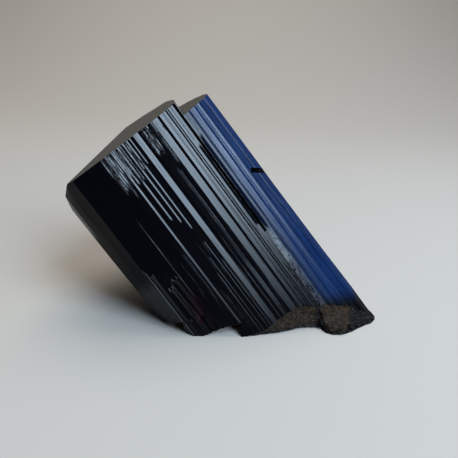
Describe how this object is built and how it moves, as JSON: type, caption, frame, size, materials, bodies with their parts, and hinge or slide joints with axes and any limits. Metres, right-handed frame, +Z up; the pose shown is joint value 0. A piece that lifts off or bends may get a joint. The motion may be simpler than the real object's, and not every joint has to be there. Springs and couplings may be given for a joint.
{
  "type": "tourmaline crystal",
  "caption": "Black tourmaline crystal, a thick ridged prism with a narrower prism grown along one side, lying slantwise on its broken base.",
  "frame": {"origin": "bottom centre of the bounding box of the crystal as it rests", "axes": "+Z up, +X to the right in the picture, away from the raised end, +Y away from the viewer"},
  "size_m": [0.0644, 0.0366, 0.0423],
  "materials": {
    "tourmaline": "near-black with navy sheen, glassy along its ridges, duller on the growth end and rough on the break"
  },
  "bodies": {
    "root": {"crystal": "tourmaline"}
  },
  "joints": []
}
